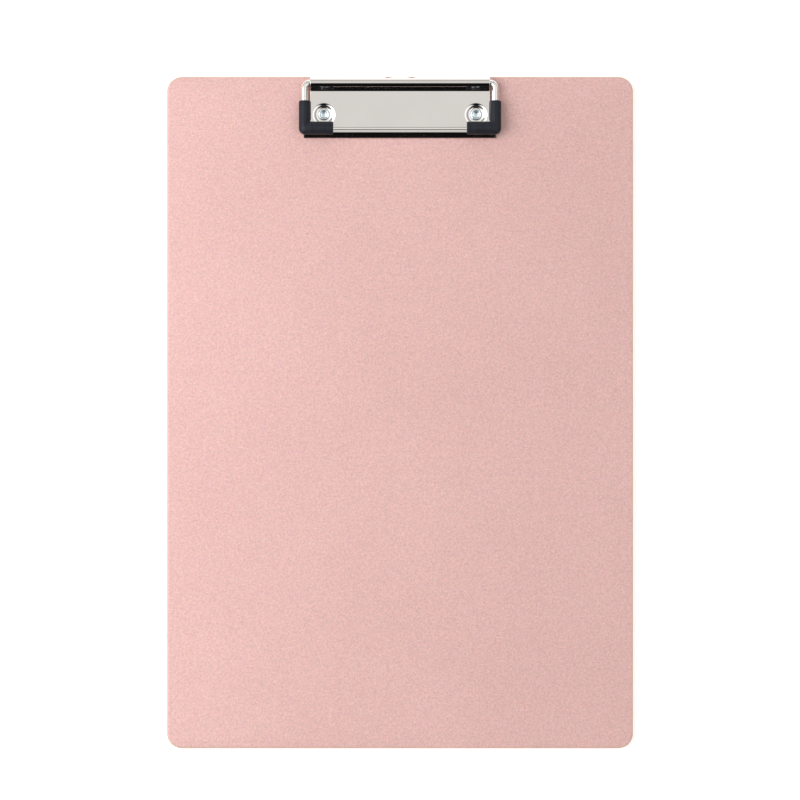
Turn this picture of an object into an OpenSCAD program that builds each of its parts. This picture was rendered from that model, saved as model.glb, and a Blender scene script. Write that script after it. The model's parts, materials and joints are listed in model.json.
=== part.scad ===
// A4 clipboard with a low-profile wire clip.
// The back of the board lies on z = 0, the clip is at the +Y end, and x = 0 is the centre line.

/* [Board] */
// Width of the board
board_w = 220; // [200:1:260]
// Length of the board
board_h = 317; // [280:1:360]
// Full thickness of the board
board_t = 3; // [2.4:0.1:5]
// Thickness of each facing sheet
sheet_t = 0.2; // [0.1:0.05:0.4]
// Radius of the four corners
corner_r = 7; // [3:0.5:20]

/* [Clip plate] */
// Thickness of the plate's sheet steel
plate_t = 0.9; // [0.7:0.05:1.1]
// Width of the plate at the barrel and over its flat
plate_w = 84.8; // [78:0.2:86]
// Width of the plate at its front ridge
lip_w = 91.2; // [88:0.2:94]
// Gap under the flat of the plate
plate_gap = 1; // [0.8:0.1:1.2]
// Flat of the plate, from the barrel's axis to the first bend
flat_reach = 20.3; // [20:0.1:21]
// Outer radius of the barrel
barrel_r = 2.6; // [2.5:0.05:2.8]
// Distance from the barrel's axis to the top edge of the board
barrel_inset = 2.9; // [2.9:0.1:6]
// Width of the slot in the barrel that holds the wire's crank
slot_l = 15; // [14:0.5:20]

/* [Wire] */
// Radius of the spring wire
wire_r = 1.5; // [1.3:0.05:1.6]
// Centre line radius of the wire's bends
wire_bend_r = 2.5; // [2:0.1:3]
// Distance between the centre lines of the two legs
leg_spacing = 90; // [89:0.2:91]
// Distance from the barrel's axis to the feet, seen from above
foot_reach = 21.5; // [21:0.1:22]
// Length of each foot's wire, from the leg's centre line
foot_wire_l = 11.5; // [8:0.5:14]
// Radius of the shallow arch in the middle of the wire
arch_r = 18; // [16:0.5:19]

/* [Sleeves] */
// Radius of a sleeve around the leg
leg_sleeve_r = 2.7; // [2.4:0.05:2.8]
// Radius of a sleeve around the foot
foot_sleeve_r = 3.1; // [2.8:0.05:3.3]
// Length of a sleeve's foot, from the leg's centre line
foot_sleeve_l = 13.5; // [10:0.5:16]
// Bare wire between the barrel's axis and a sleeve
bare_l = 8.8; // [7:0.1:10]

/* [Rivets] */
// Distance between the two rivets
rivet_spacing = 71.8; // [60:0.2:74]
// Distance from the barrel's axis to the rivets
rivet_reach = 15; // [12:0.1:15]
// Radius of a rivet's shank
shank_r = 2.1; // [1.8:0.05:2.2]
// Radius of a rivet's head, on the back of the board
head_r = 3.8; // [3.2:0.1:4.5]
// Thickness of a rivet's head
head_t = 0.6; // [0.5:0.05:0.8]
// Radius of the dimple around a rivet, at the top of the plate
dimple_r = 5; // [4.8:0.1:5.2]

/* [Hidden] */

$fn = 96;
eps = 0.01;
cut_past = 1;
running_gap = 0.05;
sleeve_gap = 0.02;
rest_gap = 0.1;

pink = [0.92, 0.75, 0.73];
fibre = [0.72, 0.60, 0.45];
nickel = [0.82, 0.80, 0.77];
zinc = [0.78, 0.84, 0.87];
black_rubber = [0.17, 0.18, 0.21];

// Bends of the plate in front of its flat: a rise, the ridge and a steep fall to the board
rise_angle = 38;
fall_angle = 45;
hollow_r = 2.5;
ridge_inner_r = 0.5;
ridge_height = 3.1;
lip_gap = 0.03;
barrel_fillet_r = 1.6;
fillet_overlap = 0.005;
seam_w = 0.2;
seam_angle = -70;
seam_lap = 0.1;
flat_lap = 0.6;
shoulder_reach = 17.6;
shoulder_r = 1.5;

flat_top = plate_gap + plate_t;
ridge_r = ridge_inner_r + plate_t;
rise_run = (ridge_height - flat_top - (hollow_r + ridge_r) * (1 - cos(rise_angle)))
           / sin(rise_angle);
ridge_reach = flat_reach + (hollow_r + ridge_r) * sin(rise_angle) + rise_run * cos(rise_angle);
fall_run = (ridge_height - ridge_r * (1 - cos(fall_angle)) - plate_t * cos(fall_angle) - lip_gap)
           / sin(fall_angle);

// The barrel and the crank in its slot
bore_r = wire_r + running_gap;
barrel_height = barrel_r + running_gap;
axis_y = board_h / 2 - barrel_inset;
axis_z = board_t + barrel_height;
slot_side_gap = 0.15;
slot_w = 2 * (wire_r + slot_side_gap);
slot_angle = 0;
crank_angle = 23;
stub_lap = 0.6;
arch_thinning = 0.1;
corner_inset = 0.3;
crank_half = arch_r * sin(crank_angle);
crank_rise = arch_r * (1 - cos(crank_angle));
stub_past_slot = 2;
crank_stub_end = slot_l / 2 + stub_past_slot;
shaft_gap = 0.3;
shaft_start = crank_stub_end + shaft_gap;

// Each foot lies just behind the ridge, and its arm rises to it from the barrel's axis
foot_height = ridge_height - ridge_r
              + sqrt((foot_sleeve_r + ridge_r + rest_gap) ^ 2 - (ridge_reach - foot_reach) ^ 2);
arm_rise = foot_height - barrel_height;
arm_l = sqrt(foot_reach ^ 2 + arm_rise ^ 2);
arm_tilt = atan2(arm_rise, foot_reach);
leg_x = leg_spacing / 2;
bend_x = leg_x - wire_bend_r;

// Dimple, clenched end and hollow of the rivets
dimple_floor_r = 3.3;
dimple_wall = 0.5;
dimple_depth = plate_gap;
hole_r = shank_r + running_gap;
head_recess = 0.05;
head_pocket_gap = 0.2;
head_pocket_r = head_r + head_pocket_gap;
hollow_in_rivet_r = 1.65;
hollow_start = 1.4;
clench_r = 0.5;
clench_centre_r = 2.15;
clench_foot = 0.3;
rivet_y = axis_y - rivet_reach;

// ---------- board ----------

module board_outline() {
    inner_w = board_w - 2 * corner_r;
    inner_h = board_h - 2 * corner_r;
    square([board_w, inner_h], center = true);
    square([inner_w, board_h], center = true);
    for (sx = [-1, 1], sy = [-1, 1])
        translate([sx * inner_w / 2, sy * inner_h / 2]) circle(corner_r);
}

module at_rivets() {
    for (side = [-1, 1])
        translate([side * rivet_spacing / 2, rivet_y, 0]) children();
}

module board_layer(bottom, thickness) {
    difference() {
        translate([0, 0, bottom]) linear_extrude(thickness) board_outline();
        at_rivets() {
            translate([0, 0, -cut_past]) cylinder(r = hole_r, h = board_t + 2 * cut_past);
            translate([0, 0, -cut_past])
                cylinder(r = head_pocket_r, h = cut_past + head_recess + head_t);
        }
    }
}

module board_core() {
    color(fibre) board_layer(sheet_t, board_t - 2 * sheet_t);
}

module front_sheet() {
    color(pink) board_layer(board_t - sheet_t, sheet_t);
}

module back_sheet() {
    color(pink) board_layer(0, sheet_t);
}

// ---------- clip plate ----------

// Part of a ring in the positive x direction, bent upwards or downwards from the x axis
module bend_section(inner_r, angle) {
    reach = 2 * (inner_r + plate_t);
    intersection() {
        difference() {
            circle(inner_r + plate_t);
            circle(inner_r);
        }
        polygon([[0, 0], [0, reach], [reach * tan(angle / 2), reach],
                 [reach * sin(angle), reach * cos(angle)]]);
    }
}

// Front of the plate: flat, rise, ridge and fall, drawn from the start of the flat along +x
module front_section() {
    flat_start = sqrt(barrel_r ^ 2 - (barrel_height - flat_top) ^ 2) - flat_lap;
    flat_l = flat_reach - flat_start;
    translate([flat_reach, flat_top + hollow_r]) {
        translate([-flat_l, -hollow_r - plate_t]) square([flat_l, plate_t]);
        rotate(rise_angle) {
            rotate(-rise_angle) mirror([0, 1]) bend_section(hollow_r, rise_angle);
            translate([0, -hollow_r - plate_t]) square([rise_run, plate_t]);
            translate([rise_run, -hollow_r - ridge_r]) {
                bend_section(ridge_inner_r, rise_angle + fall_angle);
                rotate(-rise_angle - fall_angle)
                    translate([0, ridge_inner_r]) square([fall_run, plate_t]);
            }
        }
    }
}

// The barrel, with the concave run-out that joins it to the flat
module barrel_section() {
    fillet_y = flat_top + barrel_fillet_r;
    fillet_x = sqrt((barrel_r + barrel_fillet_r) ^ 2 - (fillet_y - barrel_height) ^ 2);
    translate([0, barrel_height]) circle(barrel_r);
    difference() {
        polygon([[0, barrel_height], [0, flat_top], [fillet_x, flat_top], [fillet_x, fillet_y]]);
        translate([fillet_x, fillet_y]) circle(barrel_fillet_r + fillet_overlap);
    }
}

module plate_section() {
    difference() {
        union() {
            barrel_section();
            front_section();
        }
        translate([0, barrel_height]) circle(bore_r);
        translate([0, barrel_height]) rotate(seam_angle)
            translate([bore_r - seam_lap, 0]) square([barrel_r, seam_w]);
    }
}

// Plan of the plate: the ridge is wider than the flat and its shoulders are rounded
module plate_plan() {
    shoulder_x = lip_w / 2 - shoulder_r;
    translate([-plate_w / 2, -shoulder_reach - cut_past])
        square([plate_w, shoulder_reach + cut_past + 2 * barrel_r]);
    translate([-lip_w / 2, -2 * flat_reach])
        square([lip_w, 2 * flat_reach - shoulder_reach - shoulder_r]);
    translate([-shoulder_x, -2 * flat_reach])
        square([2 * shoulder_x, 2 * flat_reach - shoulder_reach]);
    for (side = [-1, 1])
        translate([side * shoulder_x, -shoulder_reach - shoulder_r]) circle(shoulder_r);
}

module crank_slot() {
    round_x = (slot_l - slot_w) / 2;
    rotate([slot_angle - 90, 0, 0]) {
        translate([-round_x, -slot_w / 2, 0]) cube([2 * round_x, slot_w, 2 * barrel_r]);
        for (side = [-1, 1])
            translate([side * round_x, 0, 0]) cylinder(d = slot_w, h = 2 * barrel_r);
    }
}

module base_plate() {
    floor_top = flat_top - dimple_depth;
    color(nickel) difference() {
        union() {
            translate([0, axis_y, board_t]) intersection() {
                rotate([90, 0, -90]) linear_extrude(lip_w + 2 * cut_past, center = true) plate_section();
                translate([0, 0, -cut_past]) linear_extrude(4 * barrel_r) plate_plan();
            }
            at_rivets() translate([0, 0, board_t])
                cylinder(r1 = dimple_floor_r + dimple_wall, r2 = dimple_r + dimple_wall,
                         h = plate_gap + eps);
        }
        at_rivets() translate([0, 0, board_t]) {
            translate([0, 0, floor_top])
                cylinder(r1 = dimple_floor_r, r2 = dimple_r, h = dimple_depth);
            translate([0, 0, -cut_past]) cylinder(r = hole_r, h = flat_top + 2 * cut_past);
        }
        translate([0, axis_y, axis_z]) crank_slot();
    }
}

// ---------- wire and sleeves ----------

module on_axis() {
    translate([0, axis_y, axis_z]) children();
}

// Lays a right-hand arm in its own plane, and mirrors it for the left
module as_arm(side) {
    on_axis() rotate([-arm_tilt, 0, 0])
        mirror([side < 0 ? 1 : 0, 0, 0]) children();
}

// Quarter bend of round wire about the z axis, from angle a to a + 90
module wire_bend(a, r) {
    rotate([0, 0, a]) rotate_extrude(angle = 90) translate([wire_bend_r, 0]) circle(r);
}

// The leg and the foot, from the bend at the barrel onwards
module leg_and_foot(r) {
    translate([leg_x, -wire_bend_r, 0]) rotate([90, 0, 0])
        cylinder(r = r, h = arm_l - 2 * wire_bend_r);
    translate([bend_x, -arm_l + wire_bend_r, 0]) wire_bend(-90, r);
    translate([leg_x - foot_wire_l, -arm_l, 0]) rotate([0, 90, 0])
        cylinder(r = r, h = foot_wire_l - wire_bend_r);
}

module arm(side) {
    color(nickel) as_arm(side) {
        translate([shaft_start, 0, 0]) rotate([0, 90, 0])
            cylinder(r = wire_r, h = bend_x - shaft_start);
        translate([bend_x, -wire_bend_r, 0]) wire_bend(0, wire_r);
        leg_and_foot(wire_r);
    }
}

module sleeve(side) {
    corner_x = leg_x - corner_inset;
    color(black_rubber) as_arm(side) difference() {
        union() {
            translate([leg_x, -bare_l, 0]) rotate([90, 0, 0])
                cylinder(r = leg_sleeve_r, h = arm_l - bare_l);
            translate([leg_x - foot_sleeve_l, -arm_l, 0]) rotate([0, 90, 0])
                cylinder(r = foot_sleeve_r, h = foot_sleeve_l - leg_x + corner_x);
            translate([corner_x, -arm_l, 0]) sphere(foot_sleeve_r);
        }
        leg_and_foot(wire_r + sleeve_gap);
    }
}

module left_arm() { arm(-1); }
module right_arm() { arm(1); }
module left_sleeve() { sleeve(-1); }
module right_sleeve() { sleeve(1); }

// Middle of the wire: a shallow arch that sits in the barrel's slot and holds it against turning.
// Bending draws the arch a little thinner than the straight stub that it runs into on each side.
module wire_centre() {
    stub_start = crank_half - stub_lap;
    color(nickel) on_axis() rotate([slot_angle, 0, 0]) {
        translate([0, crank_rise - arch_r, 0]) rotate([0, 0, 90 - crank_angle])
            rotate_extrude(angle = 2 * crank_angle)
                translate([arch_r, 0]) circle(wire_r - arch_thinning);
        for (side = [0, 1]) mirror([side, 0, 0]) translate([stub_start, 0, 0])
            rotate([0, 90, 0]) cylinder(r = wire_r, h = crank_stub_end - stub_start);
    }
}

// ---------- rivets ----------

// Half section of a rivet: head at the back, hollow shank and its end rolled over the plate
module rivet_section() {
    floor_z = board_t + flat_top - dimple_depth;
    clench_z = floor_z + clench_r;
    translate([0, head_recess]) square([head_r, head_t]);
    difference() {
        translate([0, head_recess]) square([shank_r, clench_z - head_recess]);
        translate([-eps, hollow_start]) square([hollow_in_rivet_r + eps, board_t + flat_top]);
    }
    translate([hollow_in_rivet_r, floor_z])
        square([clench_centre_r + clench_foot - hollow_in_rivet_r, clench_r]);
    translate([clench_centre_r, clench_z]) circle(clench_r);
}

module rivets() {
    color(zinc) at_rivets() rotate_extrude() rivet_section();
}

board_core();
front_sheet();
back_sheet();
base_plate();
wire_centre();
left_arm();
right_arm();
left_sleeve();
right_sleeve();
rivets();
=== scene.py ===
import json
import math

import bmesh
import bpy
from mathutils import Matrix, Vector


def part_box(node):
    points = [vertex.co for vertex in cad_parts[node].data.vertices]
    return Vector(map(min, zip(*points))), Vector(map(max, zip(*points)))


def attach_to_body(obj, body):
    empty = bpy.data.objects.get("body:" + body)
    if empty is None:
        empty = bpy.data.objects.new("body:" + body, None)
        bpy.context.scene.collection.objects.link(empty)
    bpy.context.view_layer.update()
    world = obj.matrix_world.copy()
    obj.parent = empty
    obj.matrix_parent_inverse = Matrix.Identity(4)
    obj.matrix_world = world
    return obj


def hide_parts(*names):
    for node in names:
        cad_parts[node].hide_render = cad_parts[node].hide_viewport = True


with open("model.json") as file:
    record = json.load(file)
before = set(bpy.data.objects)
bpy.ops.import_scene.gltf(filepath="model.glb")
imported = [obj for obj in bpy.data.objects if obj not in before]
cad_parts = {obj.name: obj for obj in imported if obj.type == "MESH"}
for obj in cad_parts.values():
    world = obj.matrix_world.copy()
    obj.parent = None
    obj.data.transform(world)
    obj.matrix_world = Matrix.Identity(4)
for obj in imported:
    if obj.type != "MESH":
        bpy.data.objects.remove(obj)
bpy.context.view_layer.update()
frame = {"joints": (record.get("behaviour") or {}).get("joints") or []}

MM = 0.001

# ---------------------------------------------------------------- sizes, in millimetres and degrees

BOARD_LOW, BOARD_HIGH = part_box("board_core")
FRONT_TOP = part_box("front_sheet")[1].z / MM
BOARD_W = (BOARD_HIGH.x - BOARD_LOW.x) / MM
BOARD_H = (BOARD_HIGH.y - BOARD_LOW.y) / MM
CORNER_R = 7.0
SHEET_T = 0.2
TRIM = 0.3
ROLL_W, ROLL_SQUARE = 0.5, 0.02

HINGE = Vector(frame["joints"][0]["pos_m"]) / MM
AXIS_Y, AXIS_Z = HINGE.y, HINGE.z
BARREL_HEIGHT = AXIS_Z - FRONT_TOP

PLATE_T = 0.9
PLATE_GAP = 1.0
PLATE_HALF = 42.4
LIP_HALF = 45.6
FLAT_REACH = 20.3
BARREL_MID_R = 2.15
FILLET_MID_R = 2.05
SEAM_ANGLE = -28.0
HOLLOW_MID_R = 2.95
RIDGE_MID_R = 0.95
RISE_ANGLE = 38.0
FALL_ANGLE = 45.0
RIDGE_TOP = 3.1
LIP_GAP = 0.03
SHOULDER_FROM, SHOULDER_TO = 17.2, 19.0
DIMPLE_FLOOR_R, DIMPLE_R = 3.1, 5.5
RIM_R = 0.16
RIM_STEPS = (0.0, 0.03, 0.08, 0.16)

WIRE_R = 1.5
WIRE_EASE, WIRE_EASE_SHARE = 0.25, 0.3
WIRE_BEND_R = 2.5
LEG_X = 45.0
FOOT_REACH = 21.5
FOOT_WIRE_L = 11.5
ARM_START = 9.8
SLOT_L, SLOT_W, SLOT_ANGLE = 15.0, 3.3, 0.0
ARCH_R, ARCH_ANGLE, ARCH_EASE = 18.0, 22.6, 0.2
CRANK_END = 9.5
SLOT_CUT_FROM, SLOT_CUT_TO = 0.2, 3.6

LEG_SLEEVE_R = 2.7
FOOT_SLEEVE_R = 3.1
FOOT_SLEEVE_L = 13.5
BARE_L = 8.8
SLEEVE_GAP = 0.02
SLEEVE_CORNER_R = 2.9
SLEEVE_SKIN = 0.01
SLEEVE_CREASE = 0.35
SLEEVE_RIM, SLEEVE_END_RIM = 0.35, 0.45
FLARE, FLARE_L = 0.12, 0.4
REST_GAP = 0.1

RIVET_X = 35.9
RIVET_REACH = 15.0
RIVET_Y = AXIS_Y - RIVET_REACH
HOLE_R = 2.15
HEAD_POCKET_R = 4.0
HEAD_RECESS, HEAD_T = 0.05, 0.6
HEAD_TOP = HEAD_RECESS + HEAD_T
HEAD_R, HEAD_EASE_W, HEAD_EASE_H = 3.8, 0.9, 0.3
SHANK_R, HOLLOW_R = 2.1, 1.65
CLENCH_MID_R, CLENCH_R, CLENCH_FOOT = 2.15, 0.5, 0.3
CLENCH_FROM, CLENCH_TO = -50, 160
HOLE_CUT_BELOW, HOLE_CUT_ABOVE = 0.5, 3.0

# The rivet's hollow, as (inset from its wall, height): its mouth over the dimple, its end in the row
HOLLOW_MOUTH = ((-0.02, 0.35), (0.0, -0.3))
HOLLOW_END = ((0.0, 2.0), (0.25, 1.55), (0.7, 1.42))

RIDGE_OUTER_R = RIDGE_MID_R + PLATE_T / 2
HOLLOW_TOP_R = HOLLOW_MID_R - PLATE_T / 2
FLAT_TOP = PLATE_GAP + PLATE_T
DIMPLES_FROM = RIVET_REACH / 2

# Steps along and round the pieces
CORNER_STEPS, EASE_STEPS, CLENCH_STEPS = 20, 6, 22
BARREL_STEPS, FILLET_STEPS, FLAT_STEPS, HOLLOW_STEPS = 72, 16, 44, 12
RISE_STEPS, RIDGE_STEPS, FALL_STEPS = 3, 16, 8
COLUMN_STEP, FINE_COLUMNS, FINE_MARGIN, EDGE_BAND = 1.5, 34, 1, 0.8
SHAFT_STEPS, BEND_STEPS, LEG_STEPS, FOOT_STEPS, CRANK_STEPS = 6, 14, 5, 3, 72
RIM_PARTS, STRAIGHT_PARTS, CORNER_PARTS = 5, 8, 18
HOLE_SIDES, SLOT_END_STEPS, WIRE_SIDES, SLEEVE_SIDES, RIVET_SIDES = 48, 20, 32, 40, 56

# Edges sharper than these angles stay sharp, in degrees
SHARP, PLATE_SHARP, ROUND_SHARP, SLEEVE_SHARP = 35.0, 30.0, 40.0, 50.0

# Points closer than this are one point, in metres
SAME_POINT = 1e-7
# A ray whose share in a direction is below this runs along the other one
NO_SHARE = 1e-9


def sin_d(angle):
    return math.sin(math.radians(angle))


def cos_d(angle):
    return math.cos(math.radians(angle))


BENDS_R = HOLLOW_TOP_R + RIDGE_OUTER_R
RISE_RUN = (RIDGE_TOP - FLAT_TOP - BENDS_R * (1 - cos_d(RISE_ANGLE))) / sin_d(RISE_ANGLE)
FALL_RUN = (RIDGE_TOP - RIDGE_OUTER_R * (1 - cos_d(FALL_ANGLE))
            - PLATE_T * cos_d(FALL_ANGLE) - LIP_GAP) / sin_d(FALL_ANGLE)
RIDGE_REACH = FLAT_REACH + BENDS_R * sin_d(RISE_ANGLE) + RISE_RUN * cos_d(RISE_ANGLE)
FOOT_HEIGHT = RIDGE_TOP - RIDGE_OUTER_R + math.sqrt(
    (FOOT_SLEEVE_R + RIDGE_OUTER_R + REST_GAP) ** 2 - (RIDGE_REACH - FOOT_REACH) ** 2)
ARM_L = math.hypot(FOOT_REACH, FOOT_HEIGHT - BARREL_HEIGHT)
ARM_TILT = math.atan2(FOOT_HEIGHT - BARREL_HEIGHT, FOOT_REACH)


# ---------------------------------------------------------------- mesh helpers

def new_object(name, vertices, faces, material, sharp_angle=SHARP):
    """A smooth-shaded mesh object from points in millimetres in the row frame."""
    mesh = bpy.data.meshes.new(name)
    mesh.from_pydata([Vector(v) * MM for v in vertices], [], faces)
    obj = bpy.data.objects.new(name, mesh)
    bpy.context.scene.collection.objects.link(obj)
    finish_mesh(obj, material, sharp_angle)
    return obj


def finish_mesh(obj, material, sharp_angle=SHARP):
    """Merges doubled points, turns the faces outward, smooths them and gives the material."""
    bm = bmesh.new()
    bm.from_mesh(obj.data)
    bmesh.ops.remove_doubles(bm, verts=bm.verts, dist=SAME_POINT)
    bmesh.ops.recalc_face_normals(bm, faces=bm.faces)
    bm.to_mesh(obj.data)
    bm.free()
    obj.data.materials.clear()
    obj.data.materials.append(material)
    obj.data.shade_smooth()
    obj.data.set_sharp_from_angle(angle=math.radians(sharp_angle))


def ring_strip(faces, first, second, count):
    """Quads between two rings of points that start at the given indices."""
    for k in range(count):
        n = (k + 1) % count
        faces.append((first + k, first + n, second + n, second + k))


def tube(rings, count):
    """Points and faces of a closed tube through rings of the same number of points."""
    vertices, faces = [], []
    for ring in rings:
        vertices.extend(ring)
    for r in range(len(rings) - 1):
        ring_strip(faces, r * count, (r + 1) * count, count)
    faces.append(tuple(range(count - 1, -1, -1)))
    last = (len(rings) - 1) * count
    faces.append(tuple(last + k for k in range(count)))
    return vertices, faces


def arc_points(centre, radius, start, end, steps):
    """Points of an arc in a plane, angles in degrees, both ends included."""
    angles = [start + (end - start) * k / steps for k in range(steps + 1)]
    return [(centre[0] + radius * cos_d(a), centre[1] + radius * sin_d(a)) for a in angles]


def straight_points(start, across, up, steps):
    """Points of a straight run in a plane, without its start and with its end."""
    return [(start[0] + across * k / steps, start[1] + up * k / steps) for k in range(1, steps + 1)]


def smooth_step(t):
    """Rises from 0 to 1 as t does, with no slope at either end."""
    t = min(max(t, 0.0), 1.0)
    return t * t * (3 - 2 * t)


def cut(obj, cutter):
    """Takes the cutter's volume out of the object and removes the cutter."""
    modifier = obj.modifiers.new("cut", "BOOLEAN")
    modifier.operation = "DIFFERENCE"
    modifier.solver = "EXACT"
    modifier.object = cutter
    graph = bpy.context.evaluated_depsgraph_get()
    done = bpy.data.meshes.new_from_object(obj.evaluated_get(graph))
    obj.modifiers.clear()
    obj.data = done
    bpy.data.objects.remove(cutter)


# ---------------------------------------------------------------- material helpers

NOISE_LOW, NOISE_HIGH = 0.3, 0.7


def shader(name, **values):
    """A new material, its principled shader and its tree, with constants set on the sockets."""
    material = bpy.data.materials.new(name)
    material.use_nodes = True
    tree = material.node_tree
    principled = tree.nodes["Principled BSDF"]
    for socket, value in values.items():
        principled.inputs[socket.replace("_", " ")].default_value = value
    return material, principled, tree


def node(tree, kind, inputs=None, **settings):
    """A new node. Each input is linked if it comes from a socket, and set if it is a value."""
    made = tree.nodes.new(kind)
    for key, value in settings.items():
        setattr(made, key, value)
    for key, value in (inputs or {}).items():
        if isinstance(value, bpy.types.NodeSocket):
            tree.links.new(value, made.inputs[key])
        else:
            made.inputs[key].default_value = value
    return made


def object_point(tree, stretch=(1, 1, 1)):
    """The point in the row frame, which is every piece's own object space."""
    point = node(tree, "ShaderNodeTexCoord").outputs["Object"]
    return node(tree, "ShaderNodeMapping", {"Vector": point, "Scale": stretch}).outputs["Vector"]


def noise(tree, point, per_metre, detail=3.0, roughness=0.5):
    """Soft noise, about 0.5 on average and mostly between NOISE_LOW and NOISE_HIGH."""
    made = node(tree, "ShaderNodeTexNoise", {"Vector": point, "Scale": per_metre, "Detail": detail,
                                             "Roughness": roughness})
    return made.outputs["Fac"]


def spread(tree, value, low, high):
    """Turns a noise into a value from low to high."""
    made = node(tree, "ShaderNodeMapRange", {"Value": value, "From Min": NOISE_LOW,
                                             "From Max": NOISE_HIGH, "To Min": low, "To Max": high})
    return made.outputs["Result"]


def two_tone(tree, value, first, second):
    """Turns a noise into a colour from the first to the second."""
    made = node(tree, "ShaderNodeValToRGB", {"Fac": value})
    made.color_ramp.elements[0].position = NOISE_LOW
    made.color_ramp.elements[0].color = (*first, 1)
    made.color_ramp.elements[1].position = NOISE_HIGH
    made.color_ramp.elements[1].color = (*second, 1)
    return made.outputs["Color"]


def blend_colours(tree, share, first, second, mode="MIX"):
    made = node(tree, "ShaderNodeMix", data_type="RGBA", blend_type=mode)
    for socket, value in ((made.inputs[0], share), (made.inputs[6], first), (made.inputs[7], second)):
        if isinstance(value, bpy.types.NodeSocket):
            tree.links.new(value, socket)
        else:
            socket.default_value = value
    return made.outputs[2]


def bump(tree, principled, height, distance_mm, strength):
    made = node(tree, "ShaderNodeBump", {"Height": height, "Distance": distance_mm * MM,
                                         "Strength": strength})
    tree.links.new(made.outputs["Normal"], principled.inputs["Normal"])


# ---------------------------------------------------------------- materials

PEARL_TONES = ((0.808, 0.508, 0.473), (0.840, 0.533, 0.497))
PEARL_GRAIN = ((0.68, 0.66, 0.66), (1.0, 1.0, 1.0))
FLECKS_PER_METRE, FLECK_SHARE = 1500.0, 0.05
FIBRE_TONES = ((0.53, 0.37, 0.23), (0.76, 0.575, 0.41))
FIBRE_MOTTLE = (0.67, 0.495, 0.345)
NICKEL_HAZE = 0.965
SHEET_TINT, WIRE_TINT = (0.88, 0.85, 0.82), (0.84, 0.82, 0.78)
ZINC_TONES = ((0.66, 0.74, 0.78), (0.80, 0.87, 0.90))
RUBBER_TONES = ((0.009, 0.011, 0.016), (0.016, 0.019, 0.026))
FLOOR_TONES = ((0.90, 0.90, 0.90), (0.92, 0.92, 0.92))


def pearl_facing():
    """Pearly pink facing: a fine sandy grain, soft clouds of tone and a satin lacquer."""
    material, principled, tree = shader("pearl_pink", Metallic=0.25, Coat_Weight=0.12,
                                        Coat_Roughness=0.35)
    point = object_point(tree)
    sand = noise(tree, point, per_metre=1250, detail=4.0, roughness=0.72)
    fleck = node(tree, "ShaderNodeTexVoronoi", {"Vector": point, "Scale": FLECKS_PER_METRE})
    cloud = noise(tree, point, per_metre=14, detail=2.0)
    base = two_tone(tree, cloud, *PEARL_TONES)
    grain = two_tone(tree, sand, *PEARL_GRAIN)
    colour = blend_colours(tree, 1.0, base, grain, "MULTIPLY")
    pearl = blend_colours(tree, FLECK_SHARE, colour, fleck.outputs["Color"], "OVERLAY")
    tree.links.new(pearl, principled.inputs["Base Color"])
    tree.links.new(spread(tree, sand, low=0.40, high=0.54), principled.inputs["Roughness"])
    bump(tree, principled, sand, distance_mm=0.012, strength=0.5)
    return material


def fibre_edge():
    """Cut edge of the hardboard core: tan, with fine fibres lying along it."""
    material, principled, tree = shader("hardboard", Specular_IOR_Level=0.25)
    fibres = noise(tree, object_point(tree, (1, 1, 9)), per_metre=700, detail=4.0, roughness=0.65)
    mottle = noise(tree, object_point(tree), per_metre=90, detail=3.0)
    tones = two_tone(tree, fibres, *FIBRE_TONES)
    colour = blend_colours(tree, mottle, tones, (*FIBRE_MOTTLE, 1))
    tree.links.new(colour, principled.inputs["Base Color"])
    tree.links.new(spread(tree, fibres, low=0.75, high=0.95), principled.inputs["Roughness"])
    bump(tree, principled, fibres, distance_mm=0.06, strength=0.7)
    return material


def nickel(name, tint, roughness_low, roughness_high, stretch):
    """Bright nickel plate: faint polishing lines and a soft clouding of tone and gloss."""
    material, principled, tree = shader(name, Metallic=1.0)
    lines = noise(tree, object_point(tree, stretch), per_metre=1600, detail=3.0, roughness=0.6)
    haze = noise(tree, object_point(tree), per_metre=60, detail=3.0)
    dark = tuple(c * NICKEL_HAZE for c in tint)
    tree.links.new(two_tone(tree, haze, dark, tint), principled.inputs["Base Color"])
    tree.links.new(spread(tree, haze, roughness_low, roughness_high), principled.inputs["Roughness"])
    bump(tree, principled, lines, distance_mm=0.0003, strength=0.15)
    return material


def zinc():
    """Zinc plate on the rivets: cooler than the nickel, a little duller, fine-grained."""
    material, principled, tree = shader("zinc", Metallic=1.0)
    grain = noise(tree, object_point(tree), per_metre=900, detail=3.0, roughness=0.6)
    tree.links.new(two_tone(tree, grain, *ZINC_TONES), principled.inputs["Base Color"])
    tree.links.new(spread(tree, grain, low=0.16, high=0.30), principled.inputs["Roughness"])
    bump(tree, principled, grain, distance_mm=0.01, strength=0.35)
    return material


def rubber():
    """Black moulded rubber: faint flow lines in the tone and a fine matt grain."""
    material, principled, tree = shader("black_rubber", Specular_IOR_Level=0.22)
    flow = noise(tree, object_point(tree, (1, 0.12, 1)), per_metre=900, detail=2.0)
    grain = noise(tree, object_point(tree), per_metre=2200, detail=3.0, roughness=0.6)
    tree.links.new(two_tone(tree, flow, *RUBBER_TONES), principled.inputs["Base Color"])
    tree.links.new(spread(tree, grain, low=0.40, high=0.58), principled.inputs["Roughness"])
    bump(tree, principled, grain, distance_mm=0.02, strength=0.4)
    return material


# ---------------------------------------------------------------- board

def outline(inset=0.0):
    """The board's rounded outline, anticlockwise, drawn in by the inset."""
    half_w, half_h, r = BOARD_W / 2 - inset, BOARD_H / 2 - inset, CORNER_R - inset
    points = []
    for sx, sy, start in ((1, 1, 0), (-1, 1, 90), (-1, -1, 180), (1, -1, 270)):
        centre = (sx * (half_w - r), sy * (half_h - r))
        points.extend(arc_points(centre, r, start, start + 90, CORNER_STEPS))
    return points


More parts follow.
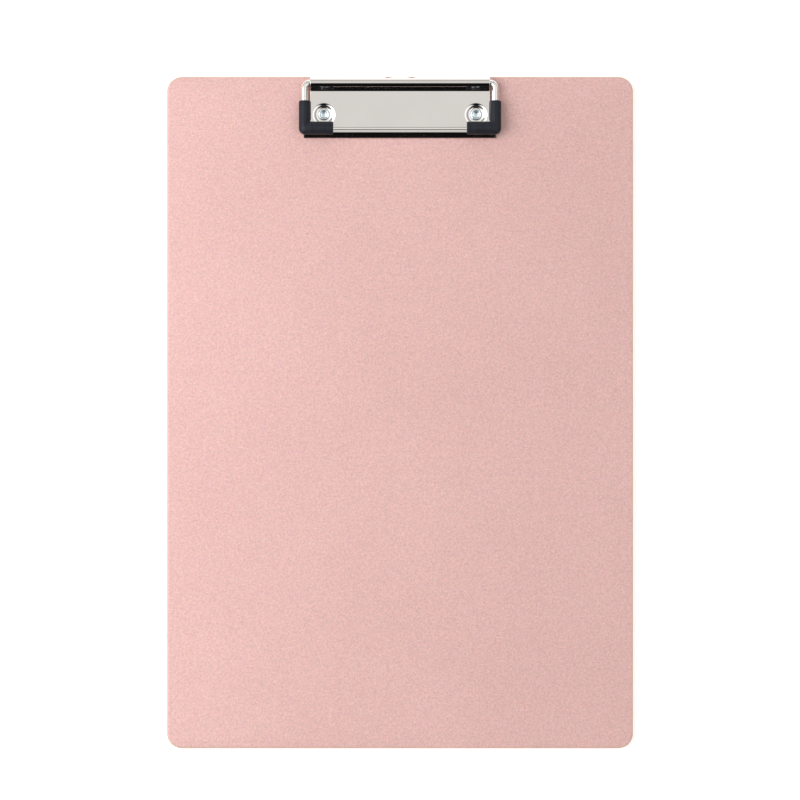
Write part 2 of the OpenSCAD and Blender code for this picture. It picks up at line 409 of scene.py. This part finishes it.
def circle_points(centre, radius, sides=HOLE_SIDES):
    """Points of a circle in a plane, anticlockwise."""
    angles = [360 * k / sides for k in range(sides)]
    return [(centre[0] + radius * cos_d(a), centre[1] + radius * sin_d(a)) for a in angles]


def layer(name, material, bottom, top, bottom_edge, top_edge, hole):
    """A board layer with holes for the rivets. The edges are lists of (inset, distance from the
    flat face), and the hole is a list of (radius, height in the row) from the bottom up."""
    loops, faces, vertices = [], [], []
    profile = [(inset, bottom + depth) for inset, depth in bottom_edge]
    profile += [(inset, top - depth) for inset, depth in reversed(top_edge)]
    count = len(outline())
    for inset, z in profile:
        loops.append(len(vertices))
        vertices.extend((x, y, z) for x, y in outline(inset))
    for first, second in zip(loops, loops[1:]):
        ring_strip(faces, first, second, count)
    for side in (-1, 1):
        starts = []
        for radius, z in hole:
            ring = circle_points((side * RIVET_X, RIVET_Y), radius)
            starts.append(len(vertices))
            vertices.extend((x, y, z) for x, y in ring)
        for low, high in zip(starts, starts[1:]):
            ring_strip(faces, high, low, len(ring))
    obj = new_object(name, vertices, faces, material)
    cap(obj, bottom * MM)
    cap(obj, top * MM)
    finish_mesh(obj, material)
    return obj


def cap(obj, z):
    """Fills the flat face at height z, leaving its holes open."""
    bm = bmesh.new()
    bm.from_mesh(obj.data)
    edges = [e for e in bm.edges
             if e.is_boundary and all(abs(v.co.z - z) < SAME_POINT for v in e.verts)]
    bmesh.ops.triangle_fill(bm, use_beauty=True, use_dissolve=False, edges=edges)
    bm.to_mesh(obj.data)
    bm.free()


def rolled_edge(width, height):
    """(inset, depth) pairs of a quarter ellipse from the flat face to the side."""
    angles = [90 * k / EASE_STEPS for k in range(EASE_STEPS + 1)]
    return [(width * (1 - sin_d(a)), height * (1 - cos_d(a))) for a in angles]


def build_board(facing, core):
    roll = [(inset + TRIM, depth) for inset, depth in rolled_edge(ROLL_W, SHEET_T - ROLL_SQUARE)]
    trimmed_edge = [(TRIM, 0.0)]
    square_edge = [(0.0, 0.0)]
    core_top = FRONT_TOP - SHEET_T
    core_hole = [(HEAD_POCKET_R, SHEET_T), (HEAD_POCKET_R, HEAD_TOP),
                 (HOLE_R, HEAD_TOP), (HOLE_R, core_top)]
    front_hole = [(HOLE_R, core_top), (HOLE_R, FRONT_TOP)]
    back_hole = [(HEAD_POCKET_R, 0.0), (HEAD_POCKET_R, SHEET_T)]
    pieces = [
        layer("front_facing", facing, core_top, FRONT_TOP, trimmed_edge, roll, front_hole),
        layer("fibre_core", core, SHEET_T, core_top, square_edge, square_edge, core_hole),
        layer("back_facing", facing, 0.0, SHEET_T, roll, trimmed_edge, back_hole),
    ]
    for piece, node_name in zip(pieces, ("front_sheet", "board_core", "back_sheet")):
        attach(piece, "board", "pearl_sheet" if node_name != "board_core" else "fibreboard", node_name)


def attach(piece, body, slot, *nodes):
    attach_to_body(piece, body)
    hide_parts(*nodes)


# ---------------------------------------------------------------- clip plate

def plate_path():
    """Middle line of the plate's section, from the barrel's seam to the lip, as (reach, height)."""
    barrel = (0.0, BARREL_HEIGHT)
    middle = PLATE_GAP + PLATE_T / 2
    fillet_z = middle + FILLET_MID_R
    fillet_x = math.sqrt((BARREL_MID_R + FILLET_MID_R) ** 2 - (fillet_z - BARREL_HEIGHT) ** 2)
    lean = math.degrees(math.atan2(fillet_z - BARREL_HEIGHT, fillet_x))
    path = arc_points(barrel, BARREL_MID_R, 360 + SEAM_ANGLE, lean, BARREL_STEPS)
    path += arc_points((fillet_x, fillet_z), FILLET_MID_R, 180 + lean, 270, FILLET_STEPS)[1:]
    path += straight_points((fillet_x, middle), FLAT_REACH - fillet_x, 0.0, FLAT_STEPS)
    hollow = (FLAT_REACH, middle + HOLLOW_MID_R)
    path += arc_points(hollow, HOLLOW_MID_R, -90, -90 + RISE_ANGLE, HOLLOW_STEPS)[1:]
    rise = (RISE_RUN * cos_d(RISE_ANGLE), RISE_RUN * sin_d(RISE_ANGLE))
    path += straight_points(path[-1], *rise, RISE_STEPS)
    x, z = path[-1]
    ridge = (x + RIDGE_MID_R * sin_d(RISE_ANGLE), z - RIDGE_MID_R * cos_d(RISE_ANGLE))
    path += arc_points(ridge, RIDGE_MID_R, 90 + RISE_ANGLE, 90 - FALL_ANGLE, RIDGE_STEPS)[1:]
    fall = (FALL_RUN * cos_d(FALL_ANGLE), -FALL_RUN * sin_d(FALL_ANGLE))
    path += straight_points(path[-1], *fall, FALL_STEPS)
    return path


def with_rims(path):
    """Adds points close to both ends of the path, where the sheet's cut edge is rounded."""
    def near(start, after):
        length = math.dist(start, after)
        return [tuple(s + (a - s) * step / length for s, a in zip(start, after)) for step in RIM_STEPS]
    return near(path[0], path[1]) + path[1:-1] + near(path[-1], path[-2])[::-1]


def rim_drop(distance):
    """How much thinner each side of the sheet is at this distance from its cut edge."""
    if distance >= RIM_R:
        return 0.0
    return RIM_R - math.sqrt(RIM_R ** 2 - (RIM_R - distance) ** 2)


def plate_half(reach):
    """Half the plate's width at this reach: narrow at the barrel, wider at the ridge."""
    share = smooth_step((reach - SHOULDER_FROM) / (SHOULDER_TO - SHOULDER_FROM))
    return PLATE_HALF + (LIP_HALF - PLATE_HALF) * share


def column_places():
    """Distances from the plate's middle line, closer together where the dimples are."""
    inner = PLATE_HALF - EDGE_BAND
    fine_from = RIVET_X - DIMPLE_R - FINE_MARGIN
    places = []
    x = 0.0
    while x < fine_from:
        places.append(x)
        x += COLUMN_STEP
    fine = [fine_from + (inner - fine_from) * k / FINE_COLUMNS for k in range(FINE_COLUMNS + 1)]
    return places + fine


def dimple(x, y):
    """How far the flat is pressed down towards the board around the rivets."""
    distance = math.hypot(abs(x) - RIVET_X, y - RIVET_Y)
    return PLATE_GAP * smooth_step((DIMPLE_R - distance) / (DIMPLE_R - DIMPLE_FLOOR_R))


def plate_grid():
    """Middle surface of the plate: rows of points, and each point's distance from the cut edge."""
    path = with_rims(plate_path())
    run = [0.0]
    for a, b in zip(path, path[1:]):
        run.append(run[-1] + math.dist(a, b))
    right = column_places()
    rows, rims = [], []
    for (reach, height), s in zip(path, run):
        half = plate_half(reach)
        edge = [half - step for step in reversed(RIM_STEPS)]
        xs = right + [right[-1] + (edge[0] - right[-1]) / 2] + edge
        xs = [-x for x in reversed(xs[1:])] + xs
        y = AXIS_Y - reach
        presses = [dimple(x, y) if reach > DIMPLES_FROM else 0.0 for x in xs]
        rows.append([(x, y, FRONT_TOP + height - press) for x, press in zip(xs, presses)])
        rims.append([min(half - abs(x), s, run[-1] - s) for x in xs])
    return rows, rims


def build_plate(material):
    rows, rims = plate_grid()
    n_rows, n_cols = len(rows), len(rows[0])
    top, bottom = [], []
    for i in range(n_rows):
        for j in range(n_cols):
            along = Vector(rows[min(i + 1, n_rows - 1)][j]) - Vector(rows[max(i - 1, 0)][j])
            across = Vector(rows[i][min(j + 1, n_cols - 1)]) - Vector(rows[i][max(j - 1, 0)])
            along.x = 0.0
            normal = across.cross(along).normalized()
            point = Vector(rows[i][j])
            half_t = PLATE_T / 2 - rim_drop(rims[i][j])
            top.append(point - normal * half_t)
            bottom.append(point + normal * half_t)
    faces = []
    size = n_rows * n_cols
    for i in range(n_rows - 1):
        for j in range(n_cols - 1):
            a = i * n_cols + j
            b, c, d = a + 1, a + n_cols + 1, a + n_cols
            faces.append((a, b, c, d))
            faces.append((size + d, size + c, size + b, size + a))
    border = ([j for j in range(n_cols)] + [i * n_cols + n_cols - 1 for i in range(1, n_rows)]
              + [(n_rows - 1) * n_cols + j for j in range(n_cols - 2, -1, -1)]
              + [i * n_cols for i in range(n_rows - 2, 0, -1)])
    for a, b in zip(border, border[1:] + border[:1]):
        faces.append((b, a, size + a, size + b))
    plate = new_object("clip_plate", top + bottom, faces, material)
    cut(plate, plate_cutter(material))
    finish_mesh(plate, material, PLATE_SHARP)
    attach(plate, "board", "nickel_plate", "base_plate")


def plate_cutter(material):
    """The two rivet holes and the slot for the crank, as one mesh of separate solids."""
    vertices, faces = [], []

    def add(rings):
        points, sides = tube(rings, len(rings[0]))
        start = len(vertices)
        vertices.extend(points)
        faces.extend(tuple(start + k for k in face) for face in sides)

    for side in (-1, 1):
        ring = circle_points((side * RIVET_X, RIVET_Y), HOLE_R)
        heights = (FRONT_TOP - HOLE_CUT_BELOW, FRONT_TOP + HOLE_CUT_ABOVE)
        add([[(x, y, z) for x, y in ring] for z in heights])
    round_x = (SLOT_L - SLOT_W) / 2
    slot = (arc_points((round_x, 0), SLOT_W / 2, -90, 90, SLOT_END_STEPS)
            + arc_points((-round_x, 0), SLOT_W / 2, 90, 270, SLOT_END_STEPS))
    turn = Matrix.Rotation(math.radians(SLOT_ANGLE - 90), 3, "X")
    reaches = (SLOT_CUT_FROM, SLOT_CUT_TO)
    add([[turn @ Vector((x, y, out)) + HINGE for x, y in slot] for out in reaches])
    return new_object("cutter", vertices, faces, material)


# ---------------------------------------------------------------- wire

def swept_wire(name, path, normal, material):
    """Round wire along a flat path. The ends are eased like a cropped wire's."""
    middle = WIRE_EASE * WIRE_EASE_SHARE
    eased = [(0.0, WIRE_R - WIRE_EASE), (middle, WIRE_R - middle), (WIRE_EASE, WIRE_R)]
    last = len(path) - 1
    rings = []
    for i, point in enumerate(path):
        ahead = (path[min(i + 1, last)] - path[max(i - 1, 0)]).normalized()
        sideways = normal.cross(ahead)
        if i == 0:
            steps = eased
        elif i == last:
            steps = [(-back, radius) for back, radius in reversed(eased)]
        else:
            steps = [(0.0, WIRE_R)]
        for shift, radius in steps:
            rings.append(wire_ring(point + ahead * shift, sideways, normal, radius))
    vertices, faces = tube(rings, WIRE_SIDES)
    return new_object(name, vertices, faces, material, ROUND_SHARP)


def wire_ring(centre, across, up, radius):
    angles = [360 * k / WIRE_SIDES for k in range(WIRE_SIDES)]
    return [centre + (across * cos_d(a) + up * sin_d(a)) * radius for a in angles]


def arm_frame(side):
    """Turns a point of the right arm's own flat plane into the row frame, mirrored for the left."""
    tilt = Matrix.Rotation(-ARM_TILT, 3, "X")

    def place(x, y, z=0.0):
        return tilt @ Vector((side * x, y, z)) + HINGE
    return place


def arm_path():
    """The right arm's wire in its own plane: shaft, bend, leg, bend, foot."""
    bend_x = LEG_X - WIRE_BEND_R
    path = [(ARM_START + (bend_x - ARM_START) * k / SHAFT_STEPS, 0.0) for k in range(SHAFT_STEPS)]
    path += arc_points((bend_x, -WIRE_BEND_R), WIRE_BEND_R, 90, 0, BEND_STEPS)
    straight = ARM_L - 2 * WIRE_BEND_R
    path += [(LEG_X, -WIRE_BEND_R - straight * k / LEG_STEPS) for k in range(1, LEG_STEPS)]
    return path + foot_path()


def foot_path():
    """The lower bend and the foot of the right arm's wire, in the same plane."""
    bend_x = LEG_X - WIRE_BEND_R
    path = arc_points((bend_x, -ARM_L + WIRE_BEND_R), WIRE_BEND_R, 0, -90, BEND_STEPS)
    run = FOOT_WIRE_L - WIRE_BEND_R
    return path + [(bend_x - run * k / FOOT_STEPS, -ARM_L) for k in range(1, FOOT_STEPS + 1)]


def build_arm(side, material):
    word = "left" if side < 0 else "right"
    place = arm_frame(side)
    normal = (place(0, 0, 1) - place(0, 0, 0)) * side
    wire = swept_wire("wire_" + word, [place(x, y) for x, y in arm_path()], normal, material)
    attach(wire, word + "_wire", "nickel_wire", word + "_arm")


def build_crank(material):
    """Middle of the wire: a shallow arch out of the barrel's slot, straight at both ends."""
    turn = Matrix.Rotation(math.radians(SLOT_ANGLE), 3, "X")
    path = []
    for k in range(CRANK_STEPS + 1):
        x = CRANK_END * (2 * k / CRANK_STEPS - 1)
        over = math.sqrt(ARCH_R ** 2 - x ** 2) - ARCH_R * cos_d(ARCH_ANGLE)
        rise = (over + math.sqrt(over ** 2 + ARCH_EASE ** 2)) / 2
        path.append(turn @ Vector((x, rise, 0)) + HINGE)
    crank = swept_wire("wire_crank", path, turn @ Vector((0, 0, 1)), material)
    attach(crank, "board", "nickel_wire", "wire_centre")


# ---------------------------------------------------------------- sleeves

def corner_reach(pivot, outer_x, outer_y, angle):
    """Distance from the pivot to the sleeve's rounded outer corner, along a ray at this angle."""
    dx, dy = cos_d(angle), -sin_d(angle)
    to_side = (outer_x - pivot[0]) / dx if dx > NO_SHARE else math.inf
    to_end = (outer_y - pivot[1]) / dy if dy < -NO_SHARE else math.inf
    if pivot[1] + to_side * dy > outer_y + SLEEVE_CORNER_R:
        return to_side
    if pivot[0] + to_end * dx < outer_x - SLEEVE_CORNER_R:
        return to_end
    cx, cy = outer_x - SLEEVE_CORNER_R - pivot[0], outer_y + SLEEVE_CORNER_R - pivot[1]
    along = cx * dx + cy * dy
    return along + math.sqrt(along ** 2 - (cx ** 2 + cy ** 2 - SLEEVE_CORNER_R ** 2))


def sleeve_sections():
    """Outer sections of the right sleeve, from the leg's open end to the foot's closed end,
    each as (centre x, centre y, ray angle, half width, half height)."""
    outer_x, outer_y = LEG_X + LEG_SLEEVE_R, -ARM_L - FOOT_SLEEVE_R
    pivot = (LEG_X - LEG_SLEEVE_R - SLEEVE_CREASE, -ARM_L + FOOT_SLEEVE_R + SLEEVE_CREASE)
    rows = []
    for k in range(RIM_PARTS + 1):
        turn = 90 * k / RIM_PARTS
        r = LEG_SLEEVE_R - SLEEVE_RIM + SLEEVE_RIM * sin_d(turn)
        rows.append((LEG_X, -BARE_L - SLEEVE_RIM * (1 - cos_d(turn)), 0.0, r, r))
    top = rows[-1][1]
    for k in range(1, STRAIGHT_PARTS):
        y = top + (pivot[1] - top) * k / STRAIGHT_PARTS
        rows.append((LEG_X, y, 0.0, LEG_SLEEVE_R, LEG_SLEEVE_R))
    for k in range(CORNER_PARTS + 1):
        angle = 90 * k / CORNER_PARTS
        half = (corner_reach(pivot, outer_x, outer_y, angle) - SLEEVE_CREASE) / 2
        centre = SLEEVE_CREASE + half
        height = LEG_SLEEVE_R + (FOOT_SLEEVE_R - LEG_SLEEVE_R) * smooth_step(k / CORNER_PARTS)
        x, y = pivot[0] + centre * cos_d(angle), pivot[1] - centre * sin_d(angle)
        rows.append((x, y, angle, half, height))
    foot_end = LEG_X - FOOT_SLEEVE_L
    for k in range(1, STRAIGHT_PARTS + 1):
        x = pivot[0] + (foot_end + SLEEVE_END_RIM - pivot[0]) * k / STRAIGHT_PARTS
        rows.append((x, -ARM_L, 90.0, FOOT_SLEEVE_R, FOOT_SLEEVE_R))
    for k in range(1, RIM_PARTS + 1):
        turn = 90 * k / RIM_PARTS
        r = FOOT_SLEEVE_R - SLEEVE_END_RIM * (1 - cos_d(turn))
        rows.append((foot_end + SLEEVE_END_RIM * (1 - sin_d(turn)), -ARM_L, 90.0, r, r))
    return rows


def build_sleeve(side, material):
    """A sleeve as one closed surface: its outside, then its bore down to the wire's end."""
    word = "left" if side < 0 else "right"
    place = arm_frame(side)
    angles = [360 * k / SLEEVE_SIDES for k in range(SLEEVE_SIDES)]
    rings = []
    for x, y, angle, half, height in sleeve_sections():
        ring = []
        for a in angles:
            out = (half - SLEEVE_SKIN) * cos_d(a)
            up = (height - SLEEVE_SKIN) * sin_d(a)
            ring.append(place(x + out * cos_d(angle), y - out * sin_d(angle), up))
        rings.append(ring)
    bore = [(LEG_X, -BARE_L), (LEG_X, -BARE_L - FLARE_L)] + foot_path()
    bore_rings = []
    last = len(bore) - 1
    for i, (x, y) in enumerate(bore):
        ahead = Vector(bore[min(i + 1, last)]) - Vector(bore[max(i - 1, 0)])
        ahead.normalize()
        radius = WIRE_R + SLEEVE_GAP + (FLARE if i == 0 else 0.0)
        ring = []
        for a in angles:
            out, up = radius * cos_d(a), radius * sin_d(a)
            ring.append(place(x - out * ahead.y, y + out * ahead.x, up))
        bore_rings.append(ring)
    vertices, faces = tube(rings[::-1] + bore_rings, SLEEVE_SIDES)
    sleeve = new_object("sleeve_" + word, vertices, faces, material, SLEEVE_SHARP)
    attach(sleeve, word + "_wire", "sleeve_rubber", word + "_sleeve")


# ---------------------------------------------------------------- rivets

def rivet_profile():
    """Half section of a rivet as (radius, height), from the back of its head round to its hollow."""
    floor = FRONT_TOP + FLAT_TOP - PLATE_GAP
    flat_r = HEAD_R - HEAD_EASE_W
    profile = [(flat_r, HEAD_RECESS)]
    for k in range(1, EASE_STEPS + 1):
        turn = 90 * k / EASE_STEPS
        rise = HEAD_EASE_H * (1 - cos_d(turn))
        profile.append((flat_r + HEAD_EASE_W * sin_d(turn), HEAD_RECESS + rise))
    profile += [(HEAD_R, HEAD_TOP), (SHANK_R, HEAD_TOP), (SHANK_R, floor)]
    profile += [(CLENCH_MID_R + CLENCH_FOOT, floor)]
    clench = (CLENCH_MID_R, floor + CLENCH_R)
    profile += arc_points(clench, CLENCH_R, CLENCH_FROM, CLENCH_TO, CLENCH_STEPS)
    profile += [(HOLLOW_R - inset, floor + rise) for inset, rise in HOLLOW_MOUTH]
    profile += [(HOLLOW_R - inset, z) for inset, z in HOLLOW_END]
    return profile


def build_rivet(side, material):
    word = "left" if side < 0 else "right"
    rings = []
    for radius, z in rivet_profile():
        ring = circle_points((side * RIVET_X, RIVET_Y), radius, RIVET_SIDES)
        rings.append([(x, y, z) for x, y in ring])
    vertices, faces = tube(rings, RIVET_SIDES)
    rivet = new_object("rivet_" + word, vertices, faces, material, ROUND_SHARP)
    attach(rivet, "board", "zinc_rivet", "rivets")


# ---------------------------------------------------------------- studio

# Sizes and places in metres, power in watts
FLOOR_HALF, FLOOR_CELLS, FLOOR_DOWN = 6.0, 24, 0.0002
FLOOR_GLOW = 0.42
KEY_PLACE, KEY_TARGET = (-0.75, 0.05, 0.75), (-0.08, 0, 0)
KEY_SIZE, KEY_WATTS, KEY_TINT = (0.9, 0.9), 8.8, (0.99, 0.98, 1.0)
CAMERA_HEIGHT, VIEW_W, VIEW_UP = 3.0, 0.37772, 0.00595
CAMERA_NEAR, CAMERA_FAR = 0.01, 50.0
SENSOR_MM = 36.0


def build_floor():
    material, principled, tree = shader("studio_floor", Roughness=0.9, Specular_IOR_Level=0.1,
                                        Emission_Color=(1, 1, 1, 1), Emission_Strength=FLOOR_GLOW)
    cloud = noise(tree, object_point(tree), per_metre=1.5, detail=2.0)
    tree.links.new(two_tone(tree, cloud, *FLOOR_TONES), principled.inputs["Base Color"])
    bm = bmesh.new()
    bmesh.ops.create_grid(bm, x_segments=FLOOR_CELLS, y_segments=FLOOR_CELLS, size=FLOOR_HALF)
    mesh = bpy.data.meshes.new("floor")
    bm.to_mesh(mesh)
    bm.free()
    mesh.materials.append(material)
    floor = bpy.data.objects.new("floor", mesh)
    floor.location.z = -FLOOR_DOWN
    bpy.context.scene.collection.objects.link(floor)


# Studio surroundings seen across the x axis: (degrees from overhead towards +Y, brightness)
SURROUNDINGS = (
    (-180, 1.0), (-112, 1.0), (-96, 0.006),
    (-14, 0.006), (-7, 0.64), (0, 0.78), (24, 0.74), (42, 0.48), (58, 0.46), (63, 1.45), (71, 1.45),
    (75, 0.20), (79, 0.20), (84, 1.45), (112, 1.5), (118, 0.75), (180, 0.9),
)
WORLD_PEAK = 1.5
GREEN_SHARE, BLUE_SHARE = 0.985, 0.965

# The side walls: their brightness high up and low down, the upward share of the direction between
# which they brighten, and the sideways share between which they take over from the surroundings
SIDE_LEVEL, SIDE_LOW_LEVEL = 1.25, 0.45
SIDE_LOW_Z, SIDE_HIGH_Z = 0.52, 0.74
SIDE_FROM, SIDE_TO = 0.12, 0.42


def build_world():
    """Light walls behind the clip and to the sides, where they are grey low down, a dark wall in
    front and grey overhead."""
    world = bpy.data.worlds.new("studio")
    bpy.context.scene.world = world
    world.use_nodes = True
    tree = world.node_tree
    background = tree.nodes["Background"]
    direction = node(tree, "ShaderNodeTexCoord").outputs["Generated"]
    parts = node(tree, "ShaderNodeSeparateXYZ", {"Vector": direction})
    angle = node(tree, "ShaderNodeMath", {0: parts.outputs["Y"], 1: parts.outputs["Z"]},
                 operation="ARCTAN2")
    share = node(tree, "ShaderNodeMapRange", {"Value": angle.outputs[0], "From Min": -math.pi,
                                              "From Max": math.pi})
    ramp = node(tree, "ShaderNodeValToRGB", {"Fac": share.outputs["Result"]})
    elements = ramp.color_ramp.elements
    for k, (degrees, level) in enumerate(SURROUNDINGS):
        place = (degrees + 180) / 360
        if k == 0:
            element = elements[0]
        elif k == len(SURROUNDINGS) - 1:
            element = elements[-1]
        else:
            element = elements.new(place)
        element.position = place
        shade = level / WORLD_PEAK
        element.color = (shade, shade * GREEN_SHARE, shade * BLUE_SHARE, 1)
    sideways = node(tree, "ShaderNodeMath", {0: parts.outputs["X"]}, operation="ABSOLUTE")
    side = node(tree, "ShaderNodeMapRange", {"Value": sideways.outputs[0], "From Min": SIDE_FROM,
                                             "From Max": SIDE_TO}, interpolation_type="SMOOTHSTEP")
    low, high = SIDE_LOW_LEVEL / WORLD_PEAK, SIDE_LEVEL / WORLD_PEAK
    height = node(tree, "ShaderNodeMapRange", {"Value": parts.outputs["Z"], "From Min": SIDE_LOW_Z,
                                               "From Max": SIDE_HIGH_Z},
                  interpolation_type="SMOOTHSTEP")
    wall = blend_colours(tree, height.outputs["Result"], (low, low, low, 1), (high, high, high, 1))
    mixed = blend_colours(tree, side.outputs["Result"], ramp.outputs["Color"], wall)
    tree.links.new(mixed, background.inputs["Color"])
    background.inputs["Strength"].default_value = WORLD_PEAK


def build_key_light():
    """One large soft light, from the left."""
    data = bpy.data.lights.new("key", "AREA")
    data.shape = "RECTANGLE"
    data.size, data.size_y = KEY_SIZE
    data.energy = KEY_WATTS
    data.color = KEY_TINT
    light = bpy.data.objects.new("key", data)
    light.location = KEY_PLACE
    light.rotation_mode = "QUATERNION"
    light.rotation_quaternion = (Vector(KEY_TARGET) - Vector(KEY_PLACE)).to_track_quat("-Z", "Y")
    bpy.context.scene.collection.objects.link(light)


def build_camera():
    """Straight down from above the board's middle, with the whole board in view."""
    data = bpy.data.cameras.new("camera")
    data.sensor_width = SENSOR_MM
    data.lens = data.sensor_width * CAMERA_HEIGHT / VIEW_W
    camera = bpy.data.objects.new("camera", data)
    camera.location = (0.0, VIEW_UP, FRONT_TOP * MM + CAMERA_HEIGHT)
    data.clip_start, data.clip_end = CAMERA_NEAR, CAMERA_FAR
    bpy.context.scene.collection.objects.link(camera)
    bpy.context.scene.camera = camera


# ---------------------------------------------------------------- scene

build_board(pearl_facing(), fibre_edge())
build_plate(nickel("nickel_sheet", SHEET_TINT, roughness_low=0.03, roughness_high=0.07,
                   stretch=(0.05, 1, 1)))
wire_nickel = nickel("nickel_wire", WIRE_TINT, roughness_low=0.06, roughness_high=0.12,
                     stretch=(0.3, 1, 1))
build_crank(wire_nickel)
black = rubber()
for arm_side in (-1, 1):
    build_arm(arm_side, wire_nickel)
    build_sleeve(arm_side, black)
rivet_zinc = zinc()
for rivet_side in (-1, 1):
    build_rivet(rivet_side, rivet_zinc)

build_floor()
build_world()
build_key_light()
bpy.context.scene.view_settings.view_transform = "Standard"
build_camera()
